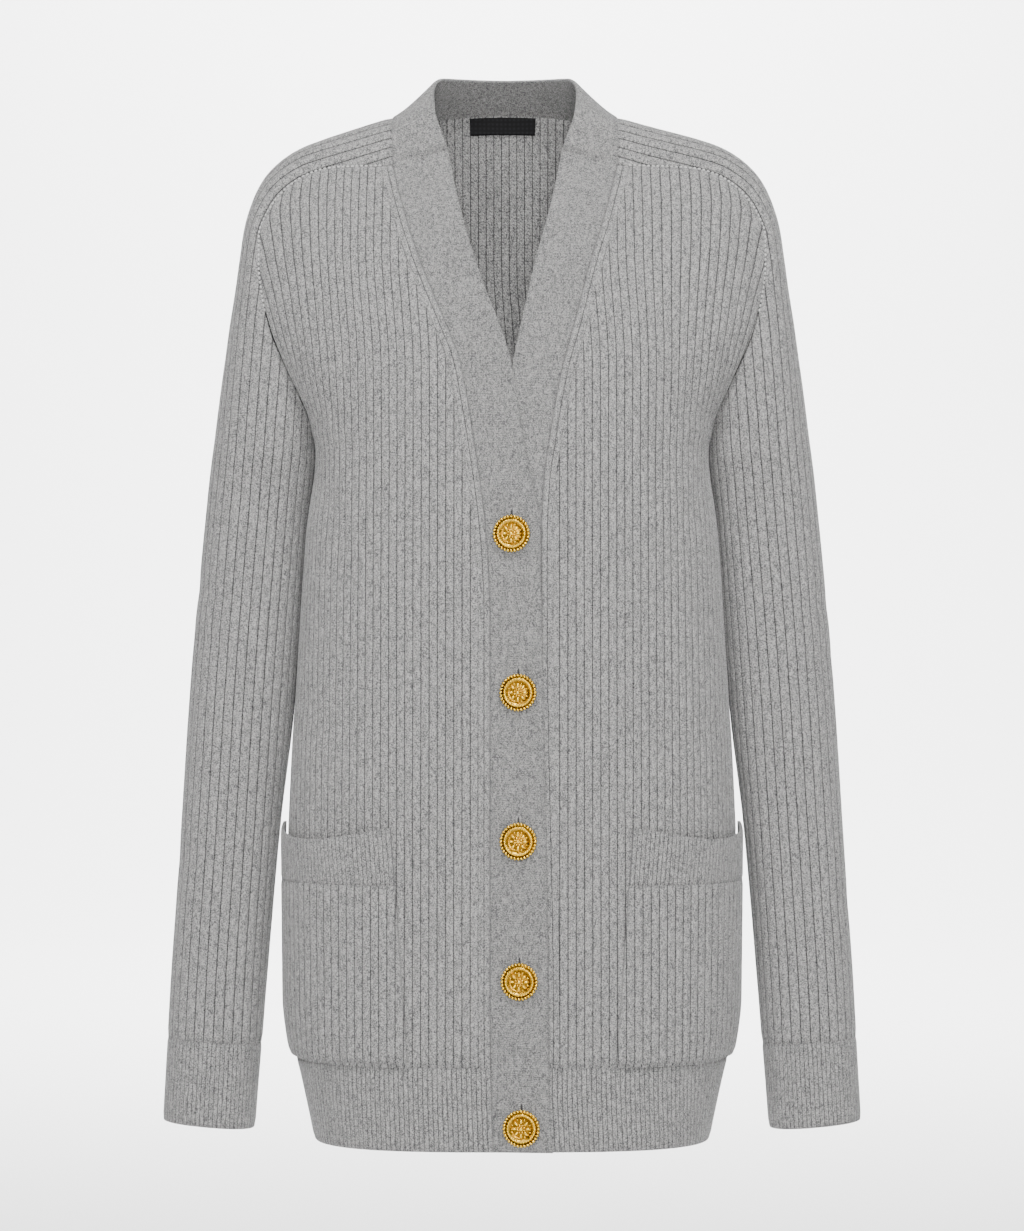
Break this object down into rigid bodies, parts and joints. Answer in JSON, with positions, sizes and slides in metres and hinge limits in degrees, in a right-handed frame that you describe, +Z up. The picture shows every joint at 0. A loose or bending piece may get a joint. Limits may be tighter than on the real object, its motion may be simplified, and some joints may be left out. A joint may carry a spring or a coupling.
{
  "type": "button cardigan",
  "caption": "Long worn-form rib knit cardigan with a V neck, button band, saddle shoulders, patch pockets and open hem, neck and cuffs.",
  "frame": {"origin": "midway between the shoulders, level with the shoulder line beside the neck, where the wearer carries the garment", "axes": "+X to the wearer's left, -Y to the front, +Z up"},
  "size_m": [0.4996, 0.2001, 0.7636],
  "materials": {
    "knit_cloth": "matt grey marl rib knit",
    "button_metal": "polished gold tone with darkened recesses",
    "label_tape": "black woven tape"
  },
  "bodies": {
    "root": {"front_right": "knit_cloth", "front_left": "knit_cloth", "back": "knit_cloth", "sleeve_right": "knit_cloth", "sleeve_left": "knit_cloth", "cuff_right": "knit_cloth", "cuff_left": "knit_cloth", "hem_front_right": "knit_cloth", "hem_front_left": "knit_cloth", "hem_back": "knit_cloth", "band_right": "knit_cloth", "band_left": "knit_cloth", "neckband_back": "knit_cloth", "pocket_right": "knit_cloth", "pocket_left": "knit_cloth", "pocket_band_right": "knit_cloth", "pocket_band_left": "knit_cloth", "button_1": "button_metal", "button_2": "button_metal", "button_3": "button_metal", "button_4": "button_metal", "button_5": "button_metal", "label": "label_tape"}
  },
  "joints": []
}
